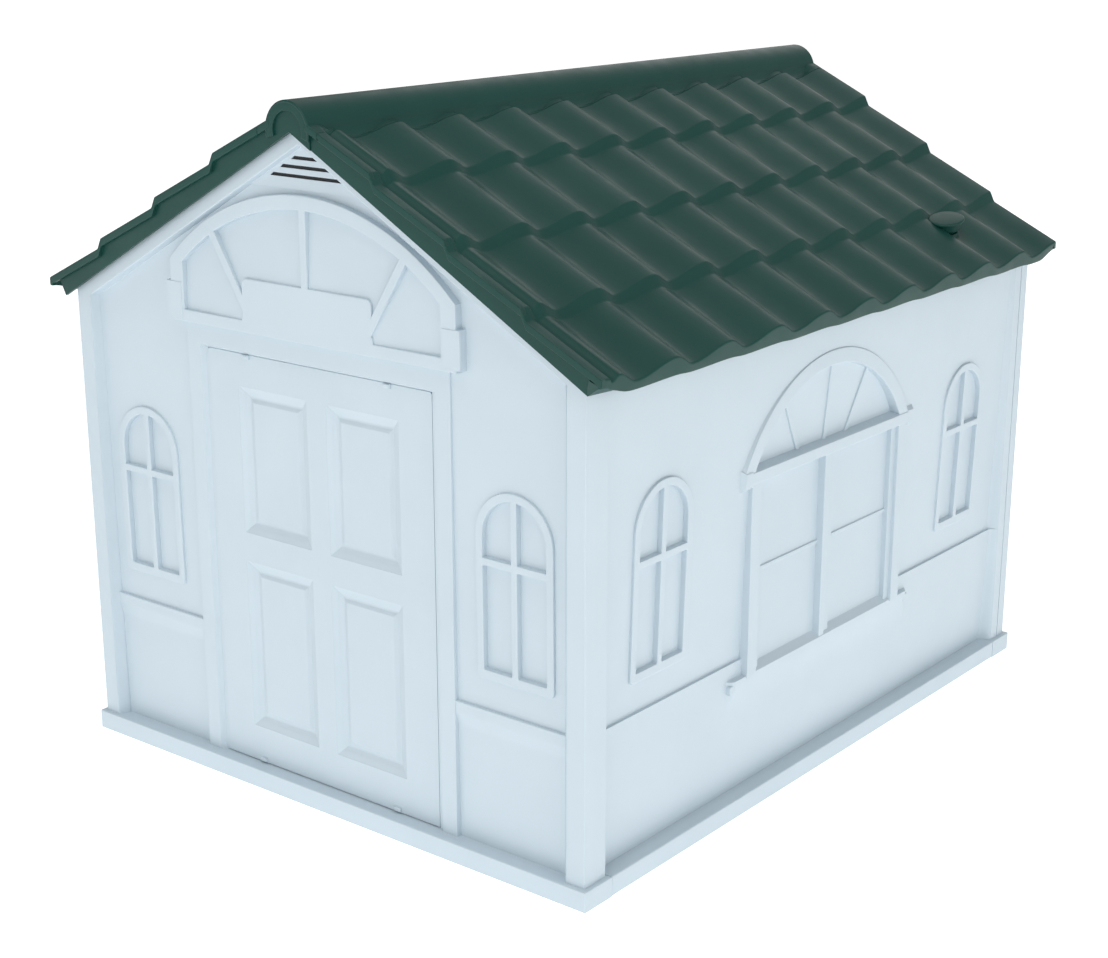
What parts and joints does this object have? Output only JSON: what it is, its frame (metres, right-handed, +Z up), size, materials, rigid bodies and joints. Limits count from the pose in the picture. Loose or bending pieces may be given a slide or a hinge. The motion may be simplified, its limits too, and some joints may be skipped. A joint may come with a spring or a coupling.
{
  "type": "animal hutch",
  "caption": "House-shaped plastic animal hutch: relief walls, gable with a panelled clip-in door, open rear entrance and a lift-off tiled roof with vents.",
  "frame": {"origin": "on the ground, under the middle of the plinth", "axes": "+Z up, the roof ridge runs along Y, the gable with the panelled door faces -Y and the open entrance +Y"},
  "size_m": [0.818, 0.977, 0.802],
  "materials": {
    "wall_plastic": "fine satin moulded texture, white with a cool tint",
    "door_plastic": "moulded wood-grain emboss, white with a cool tint",
    "floor_plastic": "plain moulded",
    "roof_plastic": "satin moulded, dark green",
    "fixing_plastic": "plain moulded",
    "foot_rubber": "matt",
    "screw_steel": "zinc plated"
  },
  "bodies": {
    "base": {"floor_front": "floor_plastic", "floor_rear": "floor_plastic", "floor_feet": "foot_rubber", "floor_clips": "fixing_plastic", "gable_door_end": "wall_plastic", "gable_entrance_end": "wall_plastic", "side_wall_right": "wall_plastic", "side_wall_left": "wall_plastic", "corner_clips": "fixing_plastic"},
    "door": {"door_panel": "door_plastic", "door_clips": "door_plastic"},
    "roof": {"roof_panel_right": "roof_plastic", "roof_panel_left": "roof_plastic", "ridge_cap": "roof_plastic", "ridge_screws": "screw_steel", "roof_locators": "fixing_plastic", "vent_collar_right": "roof_plastic", "vent_collar_left": "roof_plastic"},
    "vent_right": {"vent_cap_right": "roof_plastic", "vent_ring_right": "fixing_plastic"},
    "vent_left": {"vent_cap_left": "roof_plastic", "vent_ring_left": "fixing_plastic"}
  },
  "joints": [
    {"name": "roof_lift", "type": "slide", "parent": "base", "child": "roof", "axis": [0, 0, 1], "range_m": [0, 0.15]},
    {"name": "door_pull", "type": "slide", "parent": "base", "child": "door", "axis": [0, -1, 0], "range_m": [0, 0.08]},
    {"name": "vent_right_lift", "type": "slide", "parent": "roof", "child": "vent_right", "axis": [0.0677, -0.2419, 0.9679], "range_m": [0, 0.012]},
    {"name": "vent_left_lift", "type": "slide", "parent": "roof", "child": "vent_left", "axis": [-0.0677, 0.2419, 0.9679], "range_m": [0, 0.012]}
  ]
}
